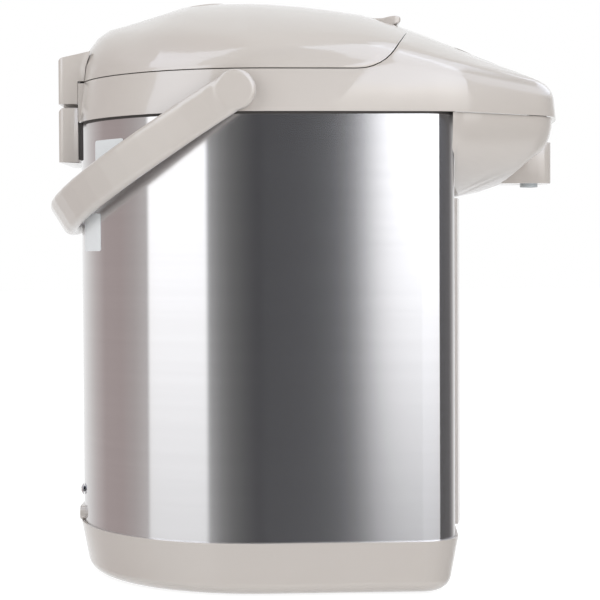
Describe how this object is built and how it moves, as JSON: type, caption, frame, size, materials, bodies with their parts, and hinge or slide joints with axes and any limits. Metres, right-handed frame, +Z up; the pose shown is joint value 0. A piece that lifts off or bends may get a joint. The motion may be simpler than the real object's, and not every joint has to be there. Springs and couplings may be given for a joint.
{
  "type": "electric thermo pot",
  "caption": "Lidded electric hot-water pot with a brushed steel jacket, hinged lid, carrying bail, pump, gauge tube and a nozzle under a broad beak.",
  "frame": {"origin": "on the floor, on the axis of the round tank", "axes": "+Z up, +X from the tank axis towards the spout, +Y to the pot's left as seen from behind"},
  "size_m": [0.2931, 0.2276, 0.33],
  "materials": {
    "warm_grey_plastic": "gloss",
    "panel_plastic": "satin",
    "key_plastic": "satin",
    "brushed_jacket": "brushed",
    "plain_steel": "satin",
    "tank_steel": "bright",
    "screw_steel": "bright",
    "brass_pin": "bright",
    "liner_plastic": "satin",
    "dark_plastic": "satin",
    "pump_plastic": "satin",
    "impeller_plastic": "satin",
    "ferrite": "matte",
    "silicone": "matte",
    "foot_rubber": "matte",
    "felt": "matte",
    "heater_metal": "cast",
    "ceramic": "matte",
    "board": "satin",
    "clear_plastic": "clear",
    "display": "gloss",
    "nozzle_plastic": "satin"
  },
  "bodies": {
    "pot": {"base_shell": "warm_grey_plastic", "base_plate": "panel_plastic", "foot_ring": "foot_rubber", "base_screws": "screw_steel", "steel_jacket": "brushed_jacket", "chassis_plate": "plain_steel", "tie_rods": "plain_steel", "inner_tank": "tank_steel", "tank_floor": "tank_steel", "tank_seal": "silicone", "insulation_felt": "felt", "heater_ring": "heater_metal", "thermostat": "ceramic", "temperature_sensor": "dark_plastic", "inlet_hose": "silicone", "pump_housing": "pump_plastic", "pump_motor": "plain_steel", "riser_hose": "silicone", "gauge_tube": "clear_plastic", "gauge_window": "clear_plastic", "front_panel": "warm_grey_plastic", "valve_body": "pump_plastic", "spout_pipe": "silicone", "power_board": "board", "power_socket": "warm_grey_plastic", "socket_pins": "brass_pin", "socket_screws": "screw_steel", "collar": "warm_grey_plastic", "spout_shell": "warm_grey_plastic", "nozzle_housing": "warm_grey_plastic", "nozzle_tip": "nozzle_plastic", "control_fascia": "panel_plastic", "display_window": "display", "control_board": "board", "hinge_bracket": "warm_grey_plastic", "hinge_pin": "plain_steel", "pivot_stubs": "warm_grey_plastic"},
    "lid": {"lid_cover": "warm_grey_plastic", "lid_liner": "liner_plastic", "lid_gasket": "silicone", "lid_hinge_block": "warm_grey_plastic", "steam_vent": "warm_grey_plastic", "lever_pin": "plain_steel"},
    "bail": {"handle": "warm_grey_plastic"},
    "release_lever": {"release_lever": "warm_grey_plastic"},
    "latch_bolt": {"latch_bolt": "liner_plastic"},
    "pour_button": {"pour_button": "panel_plastic"},
    "unlock_button": {"unlock_button": "key_plastic"},
    "reboil_button": {"reboil_button": "key_plastic"},
    "select_button": {"select_button": "key_plastic"},
    "motor_magnet": {"motor_magnet": "ferrite"},
    "pump_impeller": {"pump_impeller": "impeller_plastic"},
    "valve_ball": {"valve_ball": "screw_steel"}
  },
  "joints": [
    {"name": "lid_hinge", "type": "hinge", "parent": "pot", "child": "lid", "pos_m": [-0.108, 0, 0.262], "axis": [0, -1, 0], "range_deg": [0, 95]},
    {"name": "bail_swing", "type": "hinge", "parent": "pot", "child": "bail", "pos_m": [-0.0095, 0, 0.2695], "axis": [0, 1, 0], "range_deg": [0, 130]},
    {"name": "lever_pivot", "type": "hinge", "parent": "lid", "child": "release_lever", "pos_m": [0.063, 0, 0.3135], "axis": [0, -1, 0], "range_deg": [0, 25], "stiffness_Nm_per_rad": 0.1},
    {"name": "bolt_slide", "type": "slide", "parent": "lid", "child": "latch_bolt", "axis": [-1, 0, 0], "range_m": [0, 0.005]},
    {"name": "pour_press", "type": "slide", "parent": "pot", "child": "pour_button", "axis": [-0.4131, 0, -0.9107], "range_m": [0, 0.0012], "stiffness_N_per_m": 400},
    {"name": "unlock_press", "type": "slide", "parent": "pot", "child": "unlock_button", "axis": [-0.4131, 0, -0.9107], "range_m": [0, 0.0012], "stiffness_N_per_m": 400},
    {"name": "reboil_press", "type": "slide", "parent": "pot", "child": "reboil_button", "axis": [-0.4131, 0, -0.9107], "range_m": [0, 0.0012], "stiffness_N_per_m": 400},
    {"name": "select_press", "type": "slide", "parent": "pot", "child": "select_button", "axis": [-0.4131, 0, -0.9107], "range_m": [0, 0.0012], "stiffness_N_per_m": 400},
    {"name": "motor_spin", "type": "hinge", "parent": "pot", "child": "motor_magnet", "pos_m": [0.056, 0, 0.03], "axis": [0, 0, 1], "continuous": true},
    {"name": "impeller_spin", "type": "hinge", "parent": "pot", "child": "pump_impeller", "pos_m": [0.056, 0, 0.04], "axis": [0, 0, 1], "continuous": true},
    {"name": "valve_lift", "type": "slide", "parent": "pot", "child": "valve_ball", "axis": [0, 0, 1], "range_m": [0, 0.003]}
  ],
  "couplings": [
    {"joint": "bolt_slide", "follows": "lever_pivot", "m_per_rad": 0.011459},
    {"joint": "impeller_spin", "follows": "motor_spin", "ratio": 1}
  ]
}
